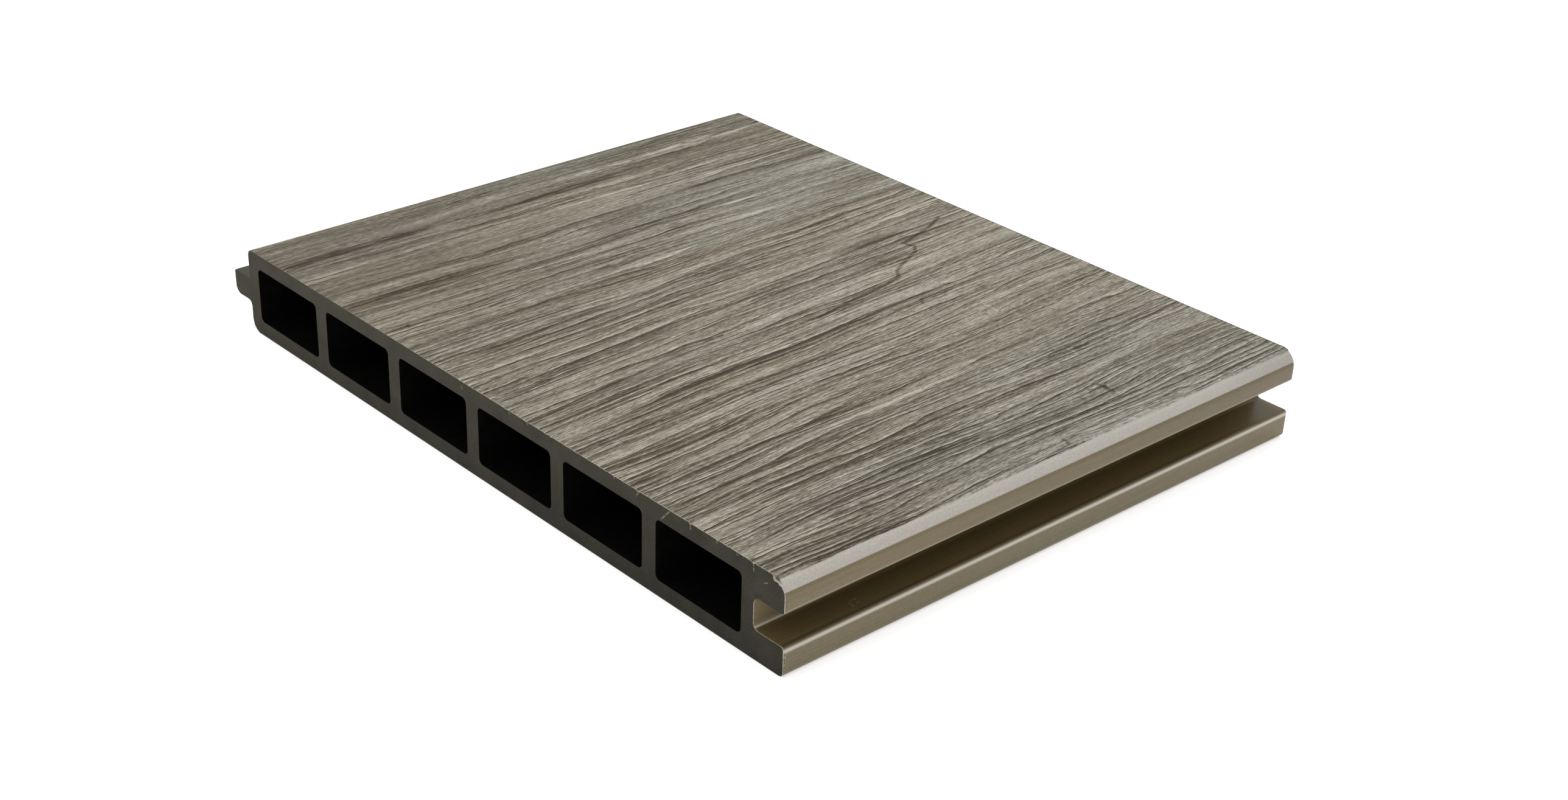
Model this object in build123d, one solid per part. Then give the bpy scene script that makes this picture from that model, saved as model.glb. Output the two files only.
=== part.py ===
from build123d import *
import os

# Hollow composite fence board: one extruded section with a tongue on one long edge
# and the matching groove on the other, sawn to a short length.
# X runs along the board, Y across it from groove to tongue, Z up through its thickness.
# The origin is the middle of the underside of the whole board, tongue included.

# Board, in millimetres
board_length = 143.5
cover_width = 180.0
thickness = 20.0

# Chambers and the walls between them
chamber_count = 6
skin = 3.55
web = 4.0
tongue_wall = 4.0
groove_wall = 3.3
chamber_round = 1.2

# Groove, with the lip under it
lower_lip = 6.35
groove_height = 6.75
groove_depth = 8.1
groove_ceiling_round = 1.6
groove_floor_round = 1.4

# Play of the tongue of one board in the groove of the next
play_below = 0.7
play_above = 0.35
end_play = 1.5

# Tongue corners
tongue_crest_round = 0.5
tongue_nose_round = 2.0
tongue_root_round = 1.3
tongue_step_round = 0.3

# Long outer edges
shoulder_round = 1.6
heel_round = 3.0
eased_round = 3.8
upper_lip_round = 0.7
lower_lip_round = 0.7
lower_lip_heel_round = 1.1

# Tongue sized to slide into the groove
groove_ceiling = lower_lip + groove_height
tongue_bottom = lower_lip + play_below
tongue_top = groove_ceiling - play_above
tongue_length = groove_depth - end_play

# Stations across the board, with the origin half way from the groove lips to the tongue's tip
groove_mouth = -(cover_width + tongue_length) / 2
groove_back = groove_mouth + groove_depth
tongue_face = groove_mouth + cover_width
tongue_tip = tongue_face + tongue_length

# Chambers share what the walls leave
first_chamber = groove_back + groove_wall
last_chamber_end = tongue_face - tongue_wall
chamber_width = (last_chamber_end - first_chamber - (chamber_count - 1) * web) / chamber_count
chamber_height = thickness - 2 * skin
chamber_pitch = chamber_width + web
chambers_middle = (first_chamber + last_chamber_end) / 2

# Outline of the section: each corner's place across, height and rounding
corners = [
    (groove_mouth, 0, lower_lip_heel_round),
    (tongue_face, 0, heel_round),
    (tongue_face, tongue_bottom, tongue_root_round),
    (tongue_tip, tongue_bottom, tongue_nose_round),
    (tongue_tip, tongue_top, tongue_crest_round),
    (tongue_face, tongue_top, tongue_step_round),
    (tongue_face, thickness, shoulder_round),
    (groove_mouth, thickness, eased_round),
    (groove_mouth, groove_ceiling, upper_lip_round),
    (groove_back, groove_ceiling, groove_ceiling_round),
    (groove_back, lower_lip, groove_floor_round),
    (groove_mouth, lower_lip, lower_lip_round),
]

with BuildSketch(Plane.YZ) as section:
    with BuildLine():
        FilletPolyline(
            [(across, height) for across, height, rounding in corners],
            radius=[rounding for across, height, rounding in corners],
            close=True,
        )
    make_face()
    with Locations((chambers_middle, thickness / 2)):
        with GridLocations(chamber_pitch, chamber_height, chamber_count, 1):
            RectangleRounded(chamber_width, chamber_height, chamber_round, mode=Mode.SUBTRACT)

with BuildPart() as fence_board:
    extrude(section.sketch, amount=board_length / 2, both=True)

os.makedirs("parts", exist_ok=True)
export_step(fence_board.part, "parts/fence_board.step")
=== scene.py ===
import math

import bmesh
import bpy
from mathutils import Matrix, Vector


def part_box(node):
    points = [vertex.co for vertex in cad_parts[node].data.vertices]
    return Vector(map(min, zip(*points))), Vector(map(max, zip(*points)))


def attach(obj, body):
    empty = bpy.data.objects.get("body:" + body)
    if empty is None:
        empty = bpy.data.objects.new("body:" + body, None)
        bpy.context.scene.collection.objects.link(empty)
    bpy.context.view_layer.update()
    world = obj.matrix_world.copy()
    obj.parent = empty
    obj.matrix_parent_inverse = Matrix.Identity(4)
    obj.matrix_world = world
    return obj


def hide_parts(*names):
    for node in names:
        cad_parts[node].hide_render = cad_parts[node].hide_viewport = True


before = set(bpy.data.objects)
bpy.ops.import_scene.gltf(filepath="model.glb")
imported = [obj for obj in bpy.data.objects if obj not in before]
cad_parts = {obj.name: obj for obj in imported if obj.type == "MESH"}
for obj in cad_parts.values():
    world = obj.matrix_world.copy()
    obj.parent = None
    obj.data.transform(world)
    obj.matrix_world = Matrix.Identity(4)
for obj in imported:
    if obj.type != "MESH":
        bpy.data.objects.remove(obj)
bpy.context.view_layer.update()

# Sizes of the board, in metres, from the frame
MM = 0.001
board_low, board_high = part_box("fence_board")
board_length = board_high.x - board_low.x
thickness = board_high.z
groove_mouth = board_low.y
tongue_tip = board_high.y

# The rest of its section
cover_width = 180 * MM
skin = 3.55 * MM
web = 4.0 * MM
tongue_wall = 4.0 * MM
groove_wall = 3.3 * MM
groove_depth = 8.1 * MM
groove_floor = 6.35 * MM
groove_ceiling = 13.1 * MM
tongue_bottom = 7.05 * MM
tongue_top = 12.75 * MM
chamber_count = 6
chamber_round = 1.2 * MM
eased_round = 3.8 * MM

groove_back = groove_mouth + groove_depth
tongue_face = groove_mouth + cover_width
first_chamber = groove_back + groove_wall
last_chamber_end = tongue_face - tongue_wall
chamber_width = (last_chamber_end - first_chamber - (chamber_count - 1) * web) / chamber_count
chamber_height = thickness - 2 * skin

# Corners of the section: place across the board, height, rounding and points along the rounding
section_corners = [
    (groove_mouth, 0.0, 1.1 * MM, 6),
    (tongue_face, 0.0, 3.0 * MM, 8),
    (tongue_face, tongue_bottom, 1.3 * MM, 6),
    (tongue_tip, tongue_bottom, 2.0 * MM, 8),
    (tongue_tip, tongue_top, 0.5 * MM, 5),
    (tongue_face, tongue_top, 0.3 * MM, 4),
    (tongue_face, thickness, 1.6 * MM, 8),
    (groove_mouth, thickness, eased_round, 44),
    (groove_mouth, groove_ceiling, 0.7 * MM, 8),
    (groove_back, groove_ceiling, 1.6 * MM, 8),
    (groove_back, groove_floor, 1.4 * MM, 8),
    (groove_mouth, groove_floor, 0.7 * MM, 6),
]

# Stretches of the section on the board's texture: first and last corner, left, right, bottom and top
texture_stretches = [
    (0, 1, (0.005, 0.48, 0.915, 0.995)),
    (1, 6, (0.50, 0.75, 0.915, 0.995)),
    (6, 8, (0.005, 0.895, 0.005, 0.695)),
    (8, 12, (0.91, 0.995, 0.005, 0.995)),
]
near_end_place = (0.005, 0.895, 0.71, 0.80)
far_end_place = (0.005, 0.895, 0.81, 0.90)
chamber_place = (0.77, 0.89, 0.915, 0.995)

# The grained face stops short of the groove's lip, and the pale eased edge ends on the lip's front
grain_limit = groove_mouth + 1.95 * MM
eased_foot = thickness - 2.49 * MM

# Streaks of the face in millimetres: from the near end, from the groove's lip, half length, half width, shade
face_streaks = [
    (20, 165.5, 34, 1.8, -0.24), (70, 164.3, 28, 1.5, -0.20), (112, 167.3, 24, 1.2, -0.16),
    (6, 176.0, 30, 3.0, -0.08), (40, 146.2, 20, 0.9, -0.12), (20, 139.0, 32, 4.5, -0.10),
    (78, 144.2, 14, 0.9, -0.12), (112, 147.0, 20, 1.0, -0.14), (64, 122.3, 24, 1.2, -0.15),
    (118, 120.5, 34, 1.8, -0.12), (33, 111.3, 16, 0.9, -0.16), (8, 113.0, 20, 1.2, -0.12),
    (20, 106.0, 34, 1.8, -0.14), (44, 102.0, 10, 0.9, -0.12), (74, 107.2, 10, 1.3, -0.13),
    (104, 105.6, 28, 1.2, -0.13), (112, 96.5, 17, 2.2, -0.19), (108, 87.5, 12, 2.8, -0.18),
    (8, 87.0, 12, 1.4, -0.14), (30, 77.0, 16, 0.9, -0.07), (86, 75.5, 18, 0.9, -0.14),
    (18, 72.0, 22, 1.0, -0.10), (46, 67.2, 40, 1.0, -0.15), (40, 59.6, 52, 1.2, -0.15),
    (112, 62.6, 36, 0.9, -0.12), (18, 50.0, 30, 1.3, -0.17), (56, 46.0, 24, 0.9, -0.10),
    (4, 43.6, 10, 1.4, -0.22), (30, 32.2, 46, 1.0, -0.16), (44, 23.0, 46, 1.2, -0.14),
    (128, 17.2, 26, 1.1, -0.16), (80, 14.0, 38, 0.9, -0.12), (48, 16.5, 40, 2.6, -0.08),
    (28, 11.0, 14, 0.9, -0.14), (28, 4.6, 16, 1.0, -0.12),
    (115, 152.0, 34, 1.6, 0.14), (60, 142.0, 16, 1.1, 0.12), (110, 133.5, 18, 1.1, 0.10),
    (105, 126.5, 36, 1.1, 0.10), (115, 101.5, 18, 1.1, 0.14), (76, 73.3, 11, 0.9, 0.16),
    (30, 79.4, 12, 0.9, 0.10), (118, 66.0, 34, 1.6, 0.10), (50, 56.0, 44, 1.6, 0.09),
    (60, 37.0, 30, 1.2, 0.07),
]

# Broad patches of the face, darker or paler, given the same way
face_patches = [
    (50, 176.0, 90, 9.0, -0.08), (112, 167.0, 80, 11.0, -0.12), (70, 142.0, 50, 9.0, -0.04),
    (20, 132.0, 60, 34.0, -0.03), (8, 20.0, 26, 12.0, 0.05), (52, 164.0, 16, 6.0, -0.06),
    (136, 105.0, 34, 16.0, 0.05), (142, 95.0, 16, 6.0, 0.05), (138, 35.0, 26, 7.0, 0.06),
    (8, 37.0, 30, 9.0, -0.05), (54, 7.0, 26, 6.0, -0.07), (110, 65.0, 44, 6.0, 0.03),
    (46, 16.0, 14, 5.0, 0.04), (140, 152.0, 30, 8.0, 0.05), (4, 7.5, 20, 6.0, 0.09),
    (8, 26.0, 24, 6.0, 0.05), (28, 155.0, 22, 7.0, -0.09),
]

# Patches where the face turns cooler (above zero) or browner (below)
face_hues = [
    (50, 16.0, 60, 9.0, 0.18), (110, 135.0, 80, 28.0, 0.20), (110, 22.0, 70, 22.0, 0.16),
    (70, 172.0, 110, 14.0, 0.14), (95, 6.0, 90, 14.0, 0.24), (22, 163.0, 50, 16.0, 0.14),
    (18, 139.0, 34, 6.0, -0.16), (20, 50.0, 38, 6.0, -0.16), (8, 154.0, 16, 3.5, -0.22),
    (112, 167.0, 26, 2.0, -0.18), (6, 43.6, 13, 2.5, -0.20), (45, 62.0, 60, 8.0, -0.08),
]

# The dark line of a pointed figure in the grain, and small marks across the grain
figure_line = [
    (135, 97.2), (129, 94.5), (118, 91.5), (119, 89.0), (117, 86.5), (112, 84.5),
    (106, 81.5), (104.5, 79.0), (98.5, 77.5), (88, 76.5), (76, 74.5),
]
pale_ticks = [[(108.6, 53.2), (108.8, 57.8)], [(106.7, 29.0), (106.9, 31.2)], [(66, 3.3), (75.5, 3.7)]]
dark_ticks = [
    [(108.2, 30.2), (111.8, 30.3)], [(99.5, 12.2), (99.3, 16.0)], [(96.0, 15.6), (99.6, 14.6)],
    [(98.6, 66.0), (100.2, 67.6)], [(5.5, 124.6), (6.1, 124.9)], [(75.8, 3.4), (76.2, 4.6)],
]

# Specks on the groove's floor, in millimetres from the near sawn end and the groove's lip
groove_specks = [(19.8, 4.0), (20.6, 3.8), (20.4, 2.7), (18.8, 2.4), (18.8, 3.2)]

# Bites out of the near sawn rim in millimetres: from the groove's lip, up from the underside, reach, depth
rim_bites = [
    (2.55, 19.8, 0.9, 0.90), (1.55, 19.25, 0.9, 0.60), (0.85, 18.6, 0.7, 0.25), (82.0, 20.0, 0.7, 0.16),
    (75.8, 20.0, 0.7, 0.18), (72.3, 20.0, 0.4, 0.12), (67.1, 20.0, 0.4, 0.20), (47.7, 20.0, 0.4, 0.22),
    (40.6, 20.0, 0.5, 0.28), (25.7, 20.0, 0.4, 0.34), (18.3, 20.0, 0.4, 0.22), (8.5, 20.0, 0.4, 0.34),
]

# Scratches on the near sawn end, in millimetres from the groove's lip and up from the underside
pale_scratches = [
    [(47.7, 19.9), (47.7, 19.4)], [(40.4, 19.9), (41.1, 18.8)], [(31.6, 19.6), (33.9, 17.1)],
    [(25.7, 19.9), (25.6, 18.7)], [(18.3, 19.9), (18.3, 19.2)], [(12.9, 19.9), (12.8, 19.4)],
    [(8.5, 19.9), (8.3, 18.2)], [(4.6, 17.6), (5.5, 17.05)], [(81.0, 19.5), (80.7, 19.3)],
    [(75.2, 19.6), (74.8, 19.5)], [(97.1, 18.8), (96.8, 18.3)],
]
dark_scratches = [
    [(82.6, 19.6), (81.6, 19.3)], [(76.4, 19.8), (75.4, 19.4)], [(67.2, 19.9), (67.0, 18.9)],
    [(7.8, 13.5), (6.05, 14.1)],
]

# Rings of the grain, in millimetres: pitch across, length along, seed and share of the relief
grain_sizes = [(3.4, 60.0, 21.3, 0.30), (1.45, 40.0, 9.2, 0.40), (0.68, 20.0, 15.4, 0.30)]

# The grain climbs across the board as it runs along, most at one place across, in millimetres
climb = 0.04
climb_middle = -20.0
climb_reach = 38.0

# Colours of the grained face by its tone, and its tints by its hue
grain_colours = [
    (0.16, (0.036, 0.028, 0.018)), (0.40, (0.113, 0.099, 0.074)),
    (0.55, (0.186, 0.171, 0.138)), (0.82, (0.365, 0.345, 0.298)),
]
grain_tints = [(0.30, (1.0, 0.955, 0.900)), (0.5, (0.985, 0.972, 0.950)), (0.70, (0.950, 0.975, 0.995))]

# Colours of the smooth skin: the eased edge's pale, partly painted sheen, the satin, painted shade in the
# groove, painted light at the groove's far end, a tint on the lower lip's front and painted shade on the
# upper lip's front
eased_colours_and_sheen = [(0.3, (0.298, 0.280, 0.2455)), (0.7, (0.361, 0.340, 0.301))]
satin_colours = [(0.3, (0.096, 0.073, 0.034)), (0.7, (0.142, 0.109, 0.053))]
groove_painted_shade = (0.76, 0.71, 0.60)
far_groove_painted_light = (1.30, 1.32, 1.42)
lower_front_tint = (1.04, 1.13, 1.29)
upper_front_painted_shade = (0.84, 0.83, 0.81)

# Colours of painted shade, painted light and painted highlights on the skin, and of its specks and its worn
# rims
eased_far_painted_shade = (0.0, 0.0, 0.0)
floor_edge_painted_shade = (0.030, 0.024, 0.012)
back_wall_painted_light = (0.20, 0.165, 0.105)
under_lip_painted_light = (0.27, 0.225, 0.150)
speck_pale = (0.25, 0.22, 0.17)
painted_highlight_pale = (0.43, 0.40, 0.345)
torn_dark = (0.045, 0.039, 0.029)
rim_pale = (0.36, 0.34, 0.295)
dash_dark = (0.030, 0.026, 0.019)
far_roll_dark = (0.040, 0.034, 0.025)

# Colours of the sawn ends, the tongue, the chambers (painted near black as shade) and the floor
sawn_colours = [(0.3, (0.0185, 0.0168, 0.0115)), (0.7, (0.0413, 0.0382, 0.0275))]
scratch_pale = (0.17, 0.158, 0.130)
scratch_dark = (0.012, 0.011, 0.009)
tongue_colours = [(0.3, (0.038, 0.0365, 0.0275)), (0.7, (0.058, 0.056, 0.043))]
chamber_shade_colours = [(0.3, (0.0012, 0.0012, 0.001)), (0.7, (0.003, 0.0028, 0.0024))]
floor_colours = [(0.3, (0.86, 0.86, 0.86)), (0.7, (0.88, 0.88, 0.88))]


class Wire:
    """A socket of a node tree. Sums and products of wires add Math nodes to that tree."""

    def __init__(self, tree, socket=None):
        self.tree = tree
        self.socket = socket

    def node(self, kind, settings=None, sockets=None, output=0):
        """Adds one node: first its settings, then the values or links of its sockets."""
        made = self.tree.nodes.new(kind)
        for name, value in (settings or {}).items():
            setattr(made, name, value)
        for name, value in (sockets or {}).items():
            values = value if isinstance(value, list) else [value]
            for one in values:
                if isinstance(one, Wire):
                    self.tree.links.new(one.socket, made.inputs[name])
                else:
                    made.inputs[name].default_value = one
        return Wire(self.tree, made.outputs[output] if made.outputs else None)

    def other(self, output):
        """Another output of the same node."""
        return Wire(self.tree, self.socket.node.outputs[output])

    def math(self, operation, *values):
        return self.node("ShaderNodeMath", {"operation": operation}, dict(enumerate(values)))

    def __add__(self, value):
        return self.math("ADD", self, value)

    def __sub__(self, value):
        return self.math("SUBTRACT", self, value)

    def __rsub__(self, value):
        return self.math("SUBTRACT", value, self)

    def __mul__(self, value):
        return self.math("MULTIPLY", self, value)

    def __truediv__(self, value):
        return self.math("DIVIDE", self, value)

    __radd__ = __add__
    __rmul__ = __mul__

    def above(self, value):
        return self.math("GREATER_THAN", self, value)

    def below(self, value):
        return self.math("LESS_THAN", self, value)

    def step(self, start, end, low=0.0, high=1.0):
        """Goes softly from low to high as the wire goes from start to end."""
        sockets = {"Value": self, "From Min": start, "From Max": end, "To Min": low, "To Max": high}
        return self.node("ShaderNodeMapRange", {"interpolation_type": "SMOOTHSTEP"}, sockets)

    def vector(self, x, y, z):
        return self.node("ShaderNodeCombineXYZ", None, {"X": x, "Y": y, "Z": z})

    def parts(self):
        """The three numbers of a vector."""
        split = self.node("ShaderNodeSeparateXYZ", None, {"Vector": self})
        return split, split.other("Y"), split.other("Z")

    def gap(self, place):
        """Distance of a vector from a place."""
        return self.node("ShaderNodeVectorMath", {"operation": "DISTANCE"}, {0: self, 1: place}, "Value")

    def blend(self, factor, first, second, how="MIX"):
        """Mixes two colours."""
        settings = {"data_type": "RGBA", "blend_type": how}
        return self.node("ShaderNodeMix", settings, {0: factor, 6: first, 7: second}, 2)

    def covered(self, cover, share):
        """A colour with another one laid over it, as far as the share says."""
        return self.blend(share, self, (*cover, 1.0))

    def tinted(self, tint, share):
        """A colour multiplied by a tint, as far as the share says."""
        return self.blend(share, self, self.blend(1.0, self, (*tint, 1.0), "MULTIPLY"))

    def ramp(self, stops):
        """A colour that goes from stop to stop as the wire rises."""
        made = self.node("ShaderNodeValToRGB", None, {"Fac": self})
        elements = made.socket.node.color_ramp.elements
        while len(elements) < len(stops):
            elements.new(1.0)
        for element, (place, colour) in zip(elements, stops):
            element.position = place
            element.color = (*colour, 1.0)
        return made


# The grain's rule, shared by the relief of the mesh and the colour of the finish

def drawn_noise(along, across, length, width, seed, detail=1.0):
    """Noise drawn out along the board, with marks about this many millimetres long and wide."""
    place = along.vector(along / length, across / width, seed)
    sockets = {"Vector": place, "Scale": 1.0, "Detail": detail, "Roughness": 0.5}
    return along.node("ShaderNodeTexNoise", {"noise_dimensions": "3D"}, sockets)


def grain_flow(along, across):
    """Place across the board, in millimetres, bent the way the fibres wander."""
    off_middle = (across - climb_middle) / climb_reach
    swell = across.math("EXPONENT", 0.0 - off_middle * off_middle)
    drift = drawn_noise(along, across, 48.0, 14.0, 3.1) - 0.5
    ripple = drawn_noise(along, across, 14.0, 3.2, 7.7) - 0.5
    return across - swell * along * climb + drift * 3.4 + ripple * 0.6


def grain_rings(along, flow, pitch, length, seed):
    """Cut growth rings: rises from 0 above one ring's sharp edge to 1 at the foot of the next."""
    bunching = drawn_noise(along, flow, length, pitch * 2.2, seed)
    rough = drawn_noise(along, flow, length / 5, pitch * 0.8, seed + 2.0)
    phase = flow / pitch + bunching * 2.0 + rough * 0.5
    return phase.math("FRACT", phase)


def grain_relief(along, flow):
    """Height of the grain, from 0 in its valleys to 1 on its crests, and its lines: painted highlights on the
    crests and dark cracks at the feet, partly pigment and partly painted shade.
    """
    relief = 1.0
    lines = 0.0
    for pitch, length, seed, share in grain_sizes:
        ring = grain_rings(along, flow, pitch, length, seed)
        depth = drawn_noise(along, flow, length, pitch * 1.6, seed + 1.4).step(0.36, 0.66)
        relief = relief - ring.step(0.2, 0.97) * depth * share
        lines = lines + (ring.step(0.04, 0.22, 0.55, 0.0) - ring.step(0.80, 0.95)) * depth
    return relief, lines


def grain_edge(along):
    """How far the grain's ragged edge wanders across the board, in millimetres."""
    return (drawn_noise(along, along * 0.0, 9.0, 1.0, 5.5, 3.0) - 0.5) * 0.7


# Geometry Nodes tree of the whole board

def board_tree(finishes):
    """Rounds the section's corners, draws it along the board, closes the sawn ends and embosses the face."""
    tree = bpy.data.node_groups.new("extruded_board", "GeometryNodeTree")
    tree.interface.new_socket("Geometry", in_out="INPUT", socket_type="NodeSocketGeometry")
    tree.interface.new_socket("Geometry", in_out="OUTPUT", socket_type="NodeSocketGeometry")
    sizes = {
        "Start": ("NodeSocketFloat", board_low.x),
        "Length": ("NodeSocketFloat", board_length),
        "Thickness": ("NodeSocketFloat", thickness),
        "Rows": ("NodeSocketInt", 128),
        "Crowding": ("NodeSocketFloat", 0.9),
        "Chamber Steps": ("NodeSocketInt", 6),
        "Face Cuts": ("NodeSocketInt", 540),
        "Chambers": ("NodeSocketInt", chamber_count),
        "Chamber Width": ("NodeSocketFloat", chamber_width),
        "Chamber Height": ("NodeSocketFloat", chamber_height),
        "Chamber Pitch": ("NodeSocketFloat", chamber_width + web),
        "Chamber Round": ("NodeSocketFloat", chamber_round),
        "First Chamber": ("NodeSocketFloat", first_chamber + chamber_width / 2),
        "Relief": ("NodeSocketFloat", 0.16 * MM),
        "Grain Limit": ("NodeSocketFloat", grain_limit),
        "Step": ("NodeSocketFloat", 0.24 * MM),
        "Shoulder": ("NodeSocketFloat", tongue_face - 1.0 * MM),
        "Tongue Wall": ("NodeSocketFloat", tongue_face - 0.13 * MM),
        "Rim Reach": ("NodeSocketFloat", 0.6 * MM),
        "Rim Wear": ("NodeSocketFloat", 0.08 * MM),
        "Far Lean": ("NodeSocketFloat", 0.033),
    }
    for name, (kind, value) in sizes.items():
        tree.interface.new_socket(name, in_out="INPUT", socket_type=kind).default_value = value
    geometry = Wire(tree).node("NodeGroupInput", None, None, "Geometry")
    size = {name: geometry.other(name) for name in sizes}

    outline = rounded_outline(geometry, size)
    chambers = chamber_curves(geometry, size)
    near_rim = worn_rim(outline, size["Rim Wear"], rim_bites, 81.0)
    far_rim = worn_rim(outline, size["Rim Wear"] * 0.3, [], 93.0)
    walls = swept_skin(outline, near_rim, far_rim, size)
    tubes = chamber_walls(chambers, size)
    near, far = sawn_ends(near_rim, far_rim, chambers, size)
    board = walls.node("GeometryNodeJoinGeometry", None, {"Geometry": [walls, tubes, near, far]})
    board = board.node("GeometryNodeMergeByDistance", None, {"Geometry": board, "Distance": 0.001 * MM})
    board = embossed(board, size)
    board = shaded(board)
    board = board.node("GeometryNodeRealizeInstances", None, {"Geometry": board})
    board = finished(board, size, finishes)
    board.node("NodeGroupOutput", None, {"Geometry": board})
    return tree


def rounded_outline(geometry, size):
    """The outer outline as a curve, with its roundings and the close points of the grained face."""
    curve = geometry.node("GeometryNodeMeshToCurve", None, {"Mesh": geometry})
    rounding = curve.node("GeometryNodeInputNamedAttribute", {"data_type": "FLOAT"}, {"Name": "rounding"})
    steps = curve.node("GeometryNodeInputNamedAttribute", {"data_type": "INT"}, {"Name": "steps"})
    sockets = {"Curve": curve, "Count": steps, "Radius": rounding}
    curve = curve.node("GeometryNodeFilletCurve", {"mode": "POLY"}, sockets)
    across, height = curve.node("GeometryNodeInputPosition").parts()[:2]
    on_top = height.above(size["Thickness"] - 0.001 * MM) * across.above(0.0)
    sockets = {"Curve": curve, "Cuts": on_top * size["Face Cuts"]}
    return curve.node("GeometryNodeSubdivideCurve", None, sockets)


def chamber_curves(geometry, size):
    """One rounded chamber, set out along the board's width."""
    sockets = {"Width": size["Chamber Width"], "Height": size["Chamber Height"]}
    mouth = geometry.node("GeometryNodeCurvePrimitiveQuadrilateral", {"mode": "RECTANGLE"}, sockets)
    sockets = {"Curve": mouth, "Count": size["Chamber Steps"], "Radius": size["Chamber Round"]}
    mouth = mouth.node("GeometryNodeFilletCurve", {"mode": "POLY"}, sockets)
    start = mouth.vector(size["First Chamber"], size["Thickness"] / 2, 0.0)
    pitch = mouth.vector(size["Chamber Pitch"], 0.0, 0.0)
    sockets = {"Count": size["Chambers"], "Start Location": start, "Offset": pitch}
    line = mouth.node("GeometryNodeMeshLine", {"mode": "OFFSET"}, sockets)
    mouths = line.node("GeometryNodeInstanceOnPoints", None, {"Points": line, "Instance": mouth})
    return mouths.node("GeometryNodeRealizeInstances", None, {"Geometry": mouths})


def worn_rim(outline, wear, bites, seed):
    """The outline as one sawn end has it: worn all round, with bites broken out of it."""
    y, z = outline.node("GeometryNodeInputPosition").parts()[:2]
    run_across, run_up = outline.node("GeometryNodeInputTangent").parts()[:2]
    crumbs = drawn_noise(y / MM, z / MM, 0.8, 0.8, seed, 2.0)
    cut = wear * crumbs.step(0.25, 0.75, 0.2, 1.6)
    place = outline.vector(y, z, 0.0)
    for across, height, reach, depth in bites:
        gap = place.gap((groove_mouth + across * MM, height * MM, 0.0))
        bite = gap.step(reach * 0.6 * MM, reach * MM, depth * MM, 0.0)
        cut = cut.math("MAXIMUM", cut, bite * crumbs.step(0.25, 0.75, 0.75, 1.15))
    inward = outline.vector(0.0 - run_up * cut, run_across * cut, 0.0)
    return outline.node("GeometryNodeSetPosition", None, {"Geometry": outline, "Offset": inward})


def place_along(share, height, size):
    """Place along the board, where the far saw cut leans a little towards the underside."""
    lean = size["Far Lean"] * (size["Thickness"] - height)
    return size["Start"] + share * (size["Length"] - lean)


def swept_skin(outline, near_rim, far_rim, size):
    """The outer skin: a grid whose columns follow the outline and whose rows crowd towards the worn rims."""
    count = outline.node("GeometryNodeAttributeDomainSize", {"component": "CURVE"}, {"Geometry": outline})
    sockets = {"Vertices X": count + 1, "Vertices Y": size["Rows"]}
    grid = outline.node("GeometryNodeMeshGrid", None, sockets)
    index = grid.node("GeometryNodeInputIndex")
    column = index.math("FLOOR", (index + 0.5) / size["Rows"])
    row = index - column * size["Rows"]
    share = row / (size["Rows"] - 1)
    crowded = share - share.math("SINE", share * math.tau) * size["Crowding"] / math.tau
    wrapped = column.math("FLOORED_MODULO", column, count)
    across, height = point_of(outline, wrapped)
    for rim, from_end in ((near_rim, crowded), (far_rim, 1 - crowded)):
        rim_across, rim_height = point_of(rim, wrapped)
        pull = from_end.math("MAXIMUM", 1 - from_end * size["Length"] / size["Rim Reach"], 0.0)
        pull = pull * pull
        across = across + (rim_across - across) * pull
        height = height + (rim_height - height) * pull
    place = grid.vector(place_along(crowded, height, size), across, height)
    walls = grid.node("GeometryNodeSetPosition", None, {"Geometry": grid, "Position": place})
    run = outline.node("GeometryNodeSplineParameter", None, None, "Length")
    sockets = {"Geometry": outline, "Value": run, "Index": wrapped}
    around = outline.node("GeometryNodeSampleIndex", {"data_type": "FLOAT", "domain": "POINT"}, sockets)
    whole = outline.node("GeometryNodeCurveLength", None, {"Curve": outline})
    return stretched_out(walls, around + whole * column.above(count - 0.5), size)


def point_of(curve, index):
    """Place across and height of one point of a curve."""
    settings = {"data_type": "FLOAT_VECTOR", "domain": "POINT"}
    place = curve.node("GeometryNodeInputPosition")
    sockets = {"Geometry": curve, "Value": place, "Index": index}
    return curve.node("GeometryNodeSampleIndex", settings, sockets).parts()[:2]


def turn_at(corner):
    """How far round the section a corner lies, in metres, counted from the first."""
    length = 0.0
    ends = section_corners[1:corner + 1] + section_corners[:1]
    for start, end in zip(section_corners[:corner], ends):
        length += abs(end[0] - start[0]) + abs(end[1] - start[1]) - (2 - math.pi / 2) * end[2]
    return length


def stretched_out(walls, around, size):
    """Lays the skin's stretches side by side on the board's texture."""
    here = walls.node("GeometryNodeFieldOnDomain", {"domain": "POINT"}, {0: around})
    middle = here.node("GeometryNodeFieldOnDomain", {"domain": "FACE"}, {0: here})
    x = walls.node("GeometryNodeInputPosition").parts()[0]
    along = (x - size["Start"]) / size["Length"]
    over = 0.0
    up = 0.0
    spare = 3 * MM
    before_first, past_last = -1.0, 1.0
    for first, last, (left, right, bottom, top) in texture_stretches:
        start = turn_at(first)
        end = turn_at(last)
        low = start if first else before_first
        high = end if last < len(section_corners) else past_last
        inside = middle.above(low) * middle.below(high)
        share = (here - (start - spare)) / (end - start + 2 * spare)
        over = over + inside * (left + share * (right - left))
        up = up + inside * (bottom + along * (top - bottom))
    return on_texture(walls, over, up)


def on_texture(part, over, up):
    """Notes each corner's place on the board's texture."""
    settings = {"data_type": "FLOAT2", "domain": "CORNER"}
    sockets = {"Geometry": part, "Name": "OFBake", "Value": part.vector(over, up, 0.0)}
    return part.node("GeometryNodeStoreNamedAttribute", settings, sockets)


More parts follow.
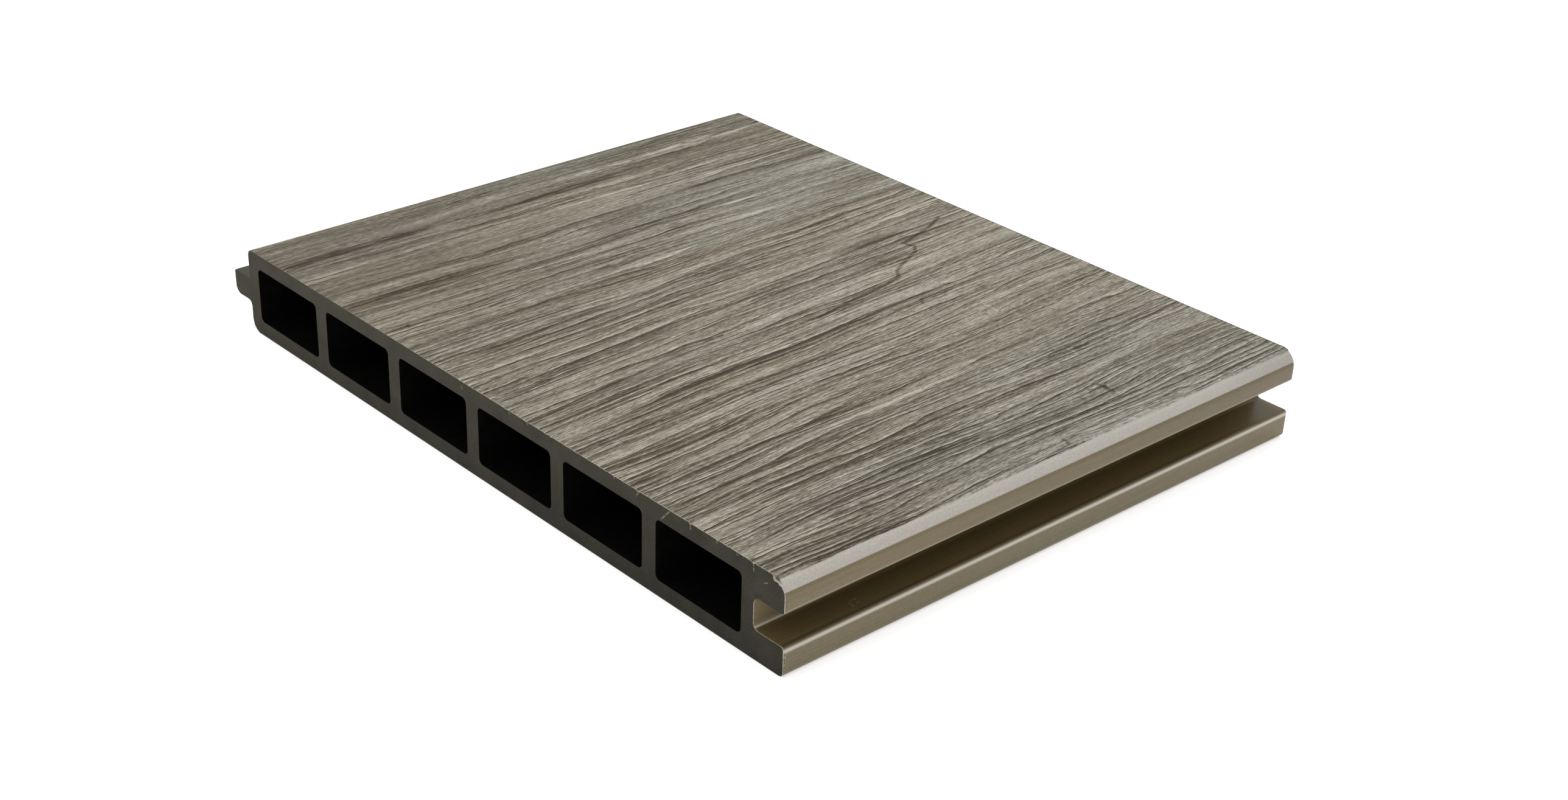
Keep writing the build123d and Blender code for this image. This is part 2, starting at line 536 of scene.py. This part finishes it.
def chamber_walls(chambers, size):
    """The chambers' inner walls, from one sawn end to the other."""
    rims = chambers.node("GeometryNodeCurveToMesh", None, {"Curve": chambers})
    sockets = {"Mesh": rims, "Offset": rims.vector(0.0, 0.0, size["Length"]), "Offset Scale": 1.0}
    tubes = rims.node("GeometryNodeExtrudeMesh", {"mode": "EDGES"}, sockets)
    across, height, depth = tubes.node("GeometryNodeInputPosition").parts()
    place = tubes.vector(place_along(depth / size["Length"], height, size), across, height)
    left, right, bottom, top = chamber_place
    slant = 0.37
    over = left + (across + height * slant - groove_mouth) / (cover_width + thickness) * (right - left)
    tubes = on_texture(tubes, over, bottom + depth / size["Length"] * (top - bottom))
    tubes = tubes.node("GeometryNodeSetPosition", None, {"Geometry": tubes, "Position": place})
    return marked(tubes, "chamber")


def sawn_ends(near_rim, far_rim, chambers, size):
    """The two sawn ends, filled between the worn rims and the chambers."""
    ends = []
    for rim, share, texture_place in ((near_rim, 0.0, near_end_place), (far_rim, 1.0, far_end_place)):
        curves = rim.node("GeometryNodeJoinGeometry", None, {"Geometry": [rim, chambers]})
        cut = curves.node("GeometryNodeFillCurve", {"mode": "TRIANGLES"}, {"Curve": curves})
        cut = marked(cut, "sawn")
        across, height = cut.node("GeometryNodeInputPosition").parts()[:2]
        left, right, bottom, top = texture_place
        over = left + (across - groove_mouth) / (tongue_tip - groove_mouth) * (right - left)
        cut = on_texture(cut, over, bottom + height / size["Thickness"] * (top - bottom))
        place = cut.vector(place_along(share, height, size), across, height)
        ends.append(cut.node("GeometryNodeSetPosition", None, {"Geometry": cut, "Position": place}))
    near, far = ends
    return near.node("GeometryNodeFlipFaces", None, {"Mesh": near}), far


def marked(part, name):
    """Notes on each face of a part where it belongs."""
    settings = {"data_type": "BOOLEAN", "domain": "FACE"}
    sockets = {"Geometry": part, "Name": name, "Value": True}
    return part.node("GeometryNodeStoreNamedAttribute", settings, sockets)


def embossed(board, size):
    """Presses the grain into the face and sinks the smooth eased edge beside it."""
    x, y, z = board.node("GeometryNodeInputPosition").parts()
    along = x / MM
    relief = grain_relief(along, grain_flow(along, y / MM))[0]
    edge = size["Grain Limit"] + grain_edge(along) * MM
    grained = y.step(edge - 0.04 * MM, edge + 0.04 * MM)
    on_top = z.step(size["Thickness"] - 0.9 * MM, size["Thickness"] - 0.7 * MM)
    on_top = on_top * y.step(size["Shoulder"] + 0.5 * MM, size["Shoulder"] - 0.5 * MM)
    proud = y.step(edge, edge + 2.5 * MM, size["Step"] * 0.5, 0.0)
    sunk = y.step(edge - 2.0 * MM, edge, 0.0, size["Step"] * -0.5) * y.below(edge + 1 * MM)
    level = z.math("MINIMUM", z + proud, size["Thickness"]) - z
    from_far = size["Start"] + size["Length"] - x
    depth = size["Relief"] * from_far.step(0.0, 1.5 * MM, 0.25, 1.0)
    pressed = (level + (relief - 1) * depth) * grained + sunk * (1 - grained)
    lift = board.vector(0.0, 0.0, pressed * on_top)
    return board.node("GeometryNodeSetPosition", None, {"Geometry": board, "Offset": lift})


def shaded(board):
    """Smooth faces, with sharp edges round the sawn ends."""
    sockets = {"Geometry": board, "Shade Smooth": True}
    board = board.node("GeometryNodeSetShadeSmooth", {"domain": "FACE"}, sockets)
    angle = board.node("GeometryNodeInputMeshEdgeAngle")
    sockets = {"Geometry": board, "Selection": angle.above(math.radians(60)), "Shade Smooth": False}
    return board.node("GeometryNodeSetShadeSmooth", {"domain": "EDGE"}, sockets)


def finished(board, size, finishes):
    """Gives each kind of face its finish."""
    board = board.node("GeometryNodeSetMaterial", None, {"Geometry": board, "Material": finishes["skin"]})
    across = board.node("GeometryNodeInputPosition").parts()[1]
    chosen = {"tongue": across.above(size["Tongue Wall"])}
    for mark in ("chamber", "sawn"):
        settings = {"data_type": "BOOLEAN"}
        chosen[mark] = board.node("GeometryNodeInputNamedAttribute", settings, {"Name": mark})
    for name, selection in chosen.items():
        sockets = {"Geometry": board, "Selection": selection, "Material": finishes[name]}
        board = board.node("GeometryNodeSetMaterial", None, sockets)
    return board


def section_mesh():
    """The section's corners as a ring of edges, each with its rounding."""
    mesh = bpy.data.meshes.new("board_section")
    places = [(corner[0], corner[1], 0.0) for corner in section_corners]
    ring = [(i, (i + 1) % len(places)) for i in range(len(places))]
    mesh.from_pydata(places, ring, [])
    mesh.attributes.new("rounding", "FLOAT", "POINT")
    mesh.attributes["rounding"].data.foreach_set("value", [corner[2] for corner in section_corners])
    mesh.attributes.new("steps", "INT", "POINT")
    mesh.attributes["steps"].data.foreach_set("value", [corner[3] for corner in section_corners])
    return mesh


def make_board(finishes):
    """Runs the tree on the section and keeps the result as a plain mesh."""
    maker = bpy.data.objects.new("board_maker", section_mesh())
    bpy.context.collection.objects.link(maker)
    modifier = maker.modifiers.new("extrude", "NODES")
    modifier.node_group = board_tree(finishes)
    evaluated = maker.evaluated_get(bpy.context.evaluated_depsgraph_get())
    mesh = bpy.data.meshes.new_from_object(evaluated)
    mesh.name = "grained_board"
    bpy.data.objects.remove(maker)
    faces = bmesh.new()
    faces.from_mesh(mesh)
    bmesh.ops.recalc_face_normals(faces, faces=faces.faces)
    faces.to_mesh(mesh)
    faces.free()
    board = bpy.data.objects.new("grained_board", mesh)
    bpy.context.collection.objects.link(board)
    return board


# Finishes

class Spot:
    """Where a point of the skin lies, in metres and in millimetres, and how far from the nearer sawn end."""

    def __init__(self, place):
        self.place = place
        self.x, self.y, self.z = place.parts()
        self.along = self.x / MM
        self.across = self.y / MM
        self.height = self.z / MM
        self.from_end = place.math("MINIMUM", self.x - board_low.x, board_high.x - self.x) / MM
        self.near_half = self.x.below(0.0)


def new_finish(name):
    """An empty material, and a wire with the place on the object to start its nodes from."""
    material = bpy.data.materials.new(name)
    material.use_nodes = True
    tree = material.node_tree
    tree.nodes.clear()
    return material, Wire(tree).node("ShaderNodeTexCoord", None, None, "Object")


def surface(place, roughness, colour, normal, specular, glow=0.0):
    """One principled shader; a glow makes it shine white by itself."""
    sockets = {
        "Base Color": colour, "Roughness": roughness, "Normal": normal, "Specular IOR Level": specular,
        "Emission Color": (1.0, 1.0, 1.0, 1.0), "Emission Strength": glow,
    }
    return place.node("ShaderNodeBsdfPrincipled", None, sockets)


def close_finish(shader):
    shader.node("ShaderNodeOutputMaterial", None, {"Surface": shader})


def bumped(height, distance):
    return height.node("ShaderNodeBump", None, {"Height": height, "Distance": distance, "Strength": 1.0})


def speckle(place, size, detail=2.0):
    """Noise with specks about this many metres across."""
    return place.node("ShaderNodeTexNoise", None, {"Vector": place, "Scale": 1 / size, "Detail": detail})


def from_near_end(along, across):
    """The board's own millimetres of a place given from the near sawn end and the groove's lip."""
    return along + board_low.x / MM, across + groove_mouth / MM


def on_face(points):
    return [from_near_end(*point) for point in points]


def streak_sum(place, streaks, start):
    """Adds up soft long streaks that lie along the grain."""
    total = start
    for along, across, half_length, half_width, shade in streaks:
        x, y = from_near_end(along, across)
        swell = math.exp(-(((y - climb_middle) / climb_reach) ** 2))
        lane = y - swell * x * climb
        reach = (1 / half_length, 1 / half_width, 0.0)
        shift = (-x / half_length, -lane / half_width, 0.0)
        settings = {"operation": "MULTIPLY_ADD"}
        offset = place.node("ShaderNodeVectorMath", settings, {0: place, 1: reach, 2: shift})
        gap = offset.node("ShaderNodeVectorMath", {"operation": "LENGTH"}, {0: offset}, "Value")
        total = gap.step(0.1, 1.0, shade, 0.0) + total
    return total


def stroke(place, points, half_width):
    """A thin soft line drawn through these places."""
    nearest = None
    places = [Vector((*point, 0.0)) for point in points]
    for start, end in zip(places, places[1:]):
        run = end - start
        offset = place.node("ShaderNodeVectorMath", {"operation": "SUBTRACT"}, {0: place, 1: start})
        settings = {"operation": "DOT_PRODUCT"}
        reach = offset.node("ShaderNodeVectorMath", settings, {0: offset, 1: run}, "Value")
        settings = {"operation": "DIVIDE", "use_clamp": True}
        share = reach.node("ShaderNodeMath", settings, {0: reach, 1: run.dot(run)})
        foot = share.node("ShaderNodeVectorMath", {"operation": "SCALE"}, {0: run, "Scale": share})
        gap = offset.gap(foot)
        nearest = gap if nearest is None else nearest.math("MINIMUM", nearest, gap)
    return nearest.step(half_width * 0.3, half_width, 1.0, 0.0)


def stroke_sum(place, lines, half_width):
    """Adds up thin soft lines."""
    total = 0.0
    for points in lines:
        total = stroke(place, points, half_width) + total
    return total


# Mask for marks along long edges: the torn corner's wear, and painted light, shade and highlights
def edge_wear_and_light(place, across, height, reach):
    """How near the skin is to a long edge at this place across the board and this height."""
    flat = place.node("ShaderNodeVectorMath", {"operation": "MULTIPLY"}, {0: place, 1: (0.0, 1.0, 1.0)})
    return flat.gap((0.0, across, height)).step(reach * 0.15, reach, 1.0, 0.0)


def grain_tone(along, across, flow, threads):
    """Lightness of the grained face before its relief: bands, streaks and marks."""
    bands = drawn_noise(along, flow, 170.0, 5.0, 31.0)
    streaks = drawn_noise(along, flow, 46.0, 1.9, 42.0)
    fibres = drawn_noise(along, flow + along * 0.05, 1.9, 0.19, 53.0)
    ragged = along.vector(along, flow + (threads - 0.5) * 1.6, 0.0)
    tone = streak_sum(ragged, face_streaks, (bands - 0.5) * 0.34 + (streaks - 0.5) * 0.24)
    flakes = drawn_noise(along, flow + along * 0.03, 9.0, 0.8, 66.0).step(0.36, 0.64, 0.35, 1.65)
    broken = 1 + (flakes - 1) * across.step(-20.0, 70.0, 0.3, 1.0)
    tone = tone * broken * across.step(-60.0, 80.0, 1.0, 1.4) + along.step(-70.0, 70.0, 0.445, 0.485)
    tone = streak_sum(along.vector(along, flow, 0.0), face_patches, tone)
    tone = tone + (fibres - 0.5) * 0.6
    wobble = drawn_noise(along, across, 2.0, 1.2, 71.0, 2.0) - 0.5
    drawn = along.vector(along + wobble * 2.0, across + wobble * 1.2, 0.0)
    tone = tone - stroke(drawn, on_face(figure_line), 0.7) * 0.25
    tone = tone + stroke_sum(drawn, [on_face(tick) for tick in pale_ticks], 0.5) * 0.15
    return tone - stroke_sum(drawn, [on_face(tick) for tick in dark_ticks], 0.7) * 0.22


def grained_face(spot):
    """The grained face: its colour, its fine grain and the height of its bumps."""
    along, across = spot.along, spot.across
    flow = grain_flow(along, across)
    relief, ring_highlight_and_shade = grain_relief(along, flow)
    threads = drawn_noise(along, flow, 4.6, 0.36, 47.0)
    pebbles = drawn_noise(along, flow, 1.1, 0.2, 58.0)
    crisp = across.step(-30.0, 60.0, 1.0, 0.7) * along.step(-20.0, 70.0, 1.0, 0.85)
    crisp = crisp * (1 - across.step(0.0, 75.0) * along.step(-60.0, 10.0, 0.45, 0.0))
    # The face's tone follows the relief: valleys and ring feet darker, partly pigment and partly painted
    # shade; crests paler as painted highlights
    fine = (threads - 0.5) * 0.55 + (pebbles - 0.5) * 0.55 + (relief - 0.78) * 0.62 + ring_highlight_and_shade * 0.2
    tone = grain_tone(along, across, flow, threads) + fine * crisp
    hue = 0.3 + drawn_noise(along, flow, 70.0, 8.0, 64.0) * 0.4
    hue = streak_sum(along.vector(along, flow, 0.0), face_hues, hue)
    colour = tone.blend(1.0, tone.ramp(grain_colours), hue.ramp(grain_tints), "MULTIPLY")
    bumps = (relief + threads * 0.5 + pebbles * 0.3) * crisp
    return colour, fine, bumps


def satin_sides(spot, speck):
    """Colour of the smooth lips and groove, with painted shade, painted light and painted highlights along
    their edges.
    """
    place, y, z, along = spot.place, spot.y, spot.z, spot.along
    lines = drawn_noise(along, spot.across + spot.height, 40.0, 0.5, 75.0, 2.0)
    satin = (lines * 0.5 + speck * 0.5).ramp(satin_colours)
    in_groove = z.above(groove_floor - 0.5 * MM) * z.below(groove_ceiling + 0.5 * MM) * y.below(0.0)
    in_groove = in_groove * y.step(groove_mouth + 0.05 * MM, groove_mouth + 0.6 * MM)
    on_front = y.below(groove_mouth + 0.3 * MM)
    # Painted shade: the groove's inside is darkened and warmed where the upper lip shades it
    satin = satin.tinted(groove_painted_shade, in_groove)
    # Painted light: the groove grows paler towards its far open end, where light falls in
    satin = satin.tinted(far_groove_painted_light, in_groove * along.step(45.0, 66.0))
    lower_front = z.below(groove_floor - 0.2 * MM) * on_front
    satin = satin.tinted(lower_front_tint, lower_front * along.step(50.0, 72.0, 1.0, 0.0))
    # Painted shade: the upper lip's front grows darker towards the far end
    upper_front = z.above(groove_ceiling) * on_front
    satin = satin.tinted(upper_front_painted_shade, upper_front * along.step(-75.0, 45.0))

    # Painted shade: a dark band along the lower lip's top edge where the groove's floor lies in shadow,
    # fading towards the far end
    floor_edge_shade = edge_wear_and_light(place, groove_mouth + 0.6 * MM, groove_floor, 0.9 * MM)
    satin = satin.covered(floor_edge_painted_shade, floor_edge_shade * along.step(40.0, 66.0, 0.55, 0.1))
    # Painted light: the groove's back wall is paler near the near sawn end, where light enters
    back_wall = y.above(groove_back - 0.3 * MM) * in_groove * spot.near_half
    satin = satin.covered(back_wall_painted_light, back_wall * spot.from_end.step(0.0, 14.0, 0.5, 0.0))
    # Painted light: the upper lip's lower rounding is painted pale, as if lit by light bounced up from below
    under_lip_lit = edge_wear_and_light(place, groove_mouth + 0.15 * MM, groove_ceiling + 0.35 * MM, 0.6 * MM)
    satin = satin.covered(under_lip_painted_light, under_lip_lit * along.step(45.0, 70.0, 0.55, 0.25))
    dots = [on_face([(dot_along, dot_across), (dot_along + 0.2, dot_across)])
            for dot_along, dot_across in groove_specks]
    specks = stroke_sum(along.vector(along, spot.across, 0.0), dots, 0.3)
    satin = satin.covered(speck_pale, specks * in_groove * 0.35)
    # Painted highlights: a pale line along the lower lip's top edge, and one along the groove's back fillet
    # near the near end
    lip_edge_highlight = edge_wear_and_light(place, groove_mouth - 0.05 * MM, groove_floor - 0.83 * MM, 0.66 * MM)
    fillet_highlight = edge_wear_and_light(place, groove_back - 0.38 * MM, groove_floor + 0.42 * MM, 0.34 * MM)
    fillet_highlight = fillet_highlight * spot.near_half * spot.from_end.step(0.0, 36.0, 0.9, 0.0)
    return satin.covered(painted_highlight_pale, lip_edge_highlight * 0.85 + fillet_highlight)


def worn_rims(spot, colour, face, crumbs, rim):
    """The skin's colour with its sawn rims worn: a torn corner, pale rims, dashes and a dark far roll."""
    from_end, z = spot.from_end, spot.z
    torn = edge_wear_and_light(spot.place, groove_mouth + 2.2 * MM, thickness - 0.8 * MM, 1.3 * MM)
    torn = torn * spot.near_half * from_end.step(0.3, 0.6, 1.0, 0.0)
    colour = colour.covered(torn_dark, torn * 0.75)
    on_lower_lip = z.below(groove_floor - 0.4 * MM)
    second = from_end.step(0.32, 0.42) * from_end.step(0.50, 0.62, 1.0, 0.0)
    second = second * crumbs.step(0.46, 0.54) * on_lower_lip
    top_rim = spot.across.step(-20.0, 50.0, 0.5, 0.1) * spot.near_half
    first = rim * z.step(thickness - 1.2 * MM, thickness - 0.4 * MM, 0.85, top_rim)
    colour = colour.covered(rim_pale, first + second * 0.6)
    dashes = from_end.step(0.14, 0.24) * from_end.step(0.34, 0.44, 1.0, 0.0)
    dashes = dashes * crumbs.step(0.50, 0.42) * on_lower_lip
    colour = colour.covered(dash_dark, dashes * 0.8)
    far_roll = face * (1 - spot.near_half) * from_end.step(0.15, 0.45, 0.6, 0.0)
    return colour.covered(far_roll_dark, far_roll)


def skin_finish():
    """Extruded composite: embossed grain on the face, a pale eased edge that is partly painted sheen, satin
    sides with painted light and shade, and worn sawn rims.
    """
    material, place = new_finish("composite_skin")
    spot = Spot(place)
    y, z = spot.y, spot.z
    grain, fine, bumps = grained_face(spot)
    speck = speckle(place, 0.35 * MM)
    crumbs = speckle(place, 0.55 * MM)
    # Painted sheen and shade: the eased edge's pale colour is partly its own and partly a painted sheen;
    # towards the far end it is darkened as painted shade
    pale = speck.ramp(eased_colours_and_sheen).covered(eased_far_painted_shade, spot.along.step(45.0, 70.0, 0.0, 0.14))
    edge_line = grain_limit + grain_edge(spot.along) * MM
    face = y.step(edge_line - 0.08 * MM, edge_line + 0.04 * MM) * z.above(thickness - 1.1 * MM)
    face = place.math("MAXIMUM", face, y.above(0.0) * z.above(thickness - 1.7 * MM))
    eased = z.step(eased_foot - 0.15 * MM, eased_foot + 0.15 * MM) * y.below(groove_mouth + 6 * MM)
    colour = place.blend(eased, satin_sides(spot, speck), pale)
    colour = place.blend(face, colour, grain)
    rim = spot.from_end.step(0.10, 0.22, 1.0, 0.0) * crumbs.step(0.3, 0.6, 0.4, 1.0)
    colour = worn_rims(spot, colour, face, crumbs, rim)
    crumbled = bumped(speck * 0.05 + crumbs * rim * 0.4, 0.25 * MM)
    smooth = surface(place, 0.30 + eased * 0.08, colour, crumbled, 0.25)
    grained = surface(place, 0.7 + fine * 0.3, colour, bumped(bumps, 0.25 * MM), 0.08)
    close_finish(place.node("ShaderNodeMixShader", None, {0: face, 1: smooth, 2: grained}))
    return material


def core_tone(place, speck):
    """Speckle and clouds of the composite's core, round a half."""
    return speck * 0.6 + speckle(place, 6.0 * MM) * 0.4


def sawn_finish():
    """Raw sawn composite: dark, matt and finely speckled, with the saw's scratches."""
    material, place = new_finish("sawn_composite")
    speck = speckle(place, 0.35 * MM, 3.0)
    x, y, z = place.parts()
    across = (y - groove_mouth) / MM
    height = z / MM
    # Painted light: the sawn end is lighter towards the tongue and towards the top, darker towards the groove
    # and the underside
    tone = core_tone(place, speck) + across.step(0.0, cover_width / MM, -0.05, 0.10)
    tone = tone + height.step(0.0, thickness / MM, -0.05, 0.05)
    colour = tone.ramp(sawn_colours)
    near_half = x.below(0.0)
    flat = across.vector(across + (speck - 0.5) * 0.3, height + (speck - 0.5) * 0.3, 0.0)
    pale = stroke_sum(flat, pale_scratches, 0.22) * near_half * speck.step(0.35, 0.6, 0.1, 0.8)
    dark = stroke_sum(flat, dark_scratches, 0.35) * near_half * 0.5
    colour = colour.covered(scratch_pale, pale).covered(scratch_dark, dark)
    close_finish(surface(place, 0.8, colour, bumped(speck, 0.08 * MM), 0.1))
    return material


def tongue_finish():
    """The tongue: bare extruded core, dark and matt."""
    material, place = new_finish("composite_core")
    tone = core_tone(place, speckle(place, 0.5 * MM, 3.0))
    x, y, z = place.parts()
    lines = drawn_noise(x / MM, (y + z) / MM, 40.0, 0.5, 77.0, 2.0)
    colour = (tone * 0.6 + lines * 0.4).ramp(tongue_colours)
    close_finish(surface(place, 0.7, colour, bumped(lines, 0.04 * MM), 0.1))
    return material


def chamber_finish():
    """Inside of the chambers: smooth extruded walls, painted near black as the shade deep inside them."""
    material, place = new_finish("chamber_wall")
    cloud = speckle(place, 2.0 * MM)
    close_finish(surface(place, 0.8, cloud.ramp(chamber_shade_colours), bumped(cloud, 0.05 * MM), 0.03))
    return material


# Stage

def make_floor():
    mesh = bpy.data.meshes.new("floor")
    reach = 4.0
    level = -0.1 * MM
    corners = [(-reach, -reach, level), (reach, -reach, level), (reach, reach, level), (-reach, reach, level)]
    mesh.from_pydata(corners, [], [(0, 1, 2, 3)])
    floor = bpy.data.objects.new("floor", mesh)
    bpy.context.collection.objects.link(floor)
    material, place = new_finish("pale_floor")
    cloud = speckle(place, 0.5)
    glow = 0.42
    close_finish(surface(place, 0.9, cloud.ramp(floor_colours), bumped(cloud, 0.01 * MM), 0.1, glow))
    mesh.materials.append(material)


def make_light(name, place, target, size, power):
    """A soft rectangular light, given its width and height in metres and its power in watts."""
    lamp = bpy.data.lights.new(name, "AREA")
    lamp.shape = "RECTANGLE"
    lamp.size, lamp.size_y = size
    lamp.energy = power
    light = bpy.data.objects.new(name, lamp)
    light.location = place
    light.rotation_euler = (Vector(target) - Vector(place)).to_track_quat("-Z", "Y").to_euler()
    bpy.context.collection.objects.link(light)


def make_lights():
    middle = (0.0, 0.0, 0.01)
    make_light("overhead", (0.2, 0.45, 1.5), middle, (0.8, 0.8), 16.0)
    world = bpy.data.worlds.new("soft_room")
    world.use_nodes = True
    world.node_tree.nodes["Background"].inputs["Color"].default_value = (1.0, 1.0, 1.0, 1.0)
    world.node_tree.nodes["Background"].inputs["Strength"].default_value = 1.0
    bpy.context.scene.world = world


def make_camera():
    """The photograph's camera: its place, heading from +X towards +Y, downward tilt, roll and lens."""
    place = Vector((-0.30075, -0.33986, 0.2305))
    heading, tilt, roll = math.radians(47.342), math.radians(27.508), math.radians(1.886)
    ahead = Vector((math.cos(tilt) * math.cos(heading), math.cos(tilt) * math.sin(heading), -math.sin(tilt)))
    level = ahead.cross(Vector((0, 0, 1))).normalized()
    upright = level.cross(ahead)
    right = level * math.cos(roll) + upright * math.sin(roll)
    up = upright * math.cos(roll) - level * math.sin(roll)
    lens = bpy.data.cameras.new("photo_camera")
    lens.sensor_width = 36.0
    lens.lens = 52.87
    lens.clip_start = 0.01
    camera = bpy.data.objects.new("photo_camera", lens)
    turn = Matrix((right, up, -ahead)).transposed().to_4x4()
    camera.matrix_world = Matrix.Translation(place) @ turn
    bpy.context.collection.objects.link(camera)
    bpy.context.scene.camera = camera


bpy.context.scene.view_settings.view_transform = "Standard"
finishes = {
    "skin": skin_finish(),
    "tongue": tongue_finish(),
    "sawn": sawn_finish(),
    "chamber": chamber_finish(),
}
board = make_board(finishes)
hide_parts("fence_board")
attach(board, "root")
make_floor()
make_lights()
make_camera()
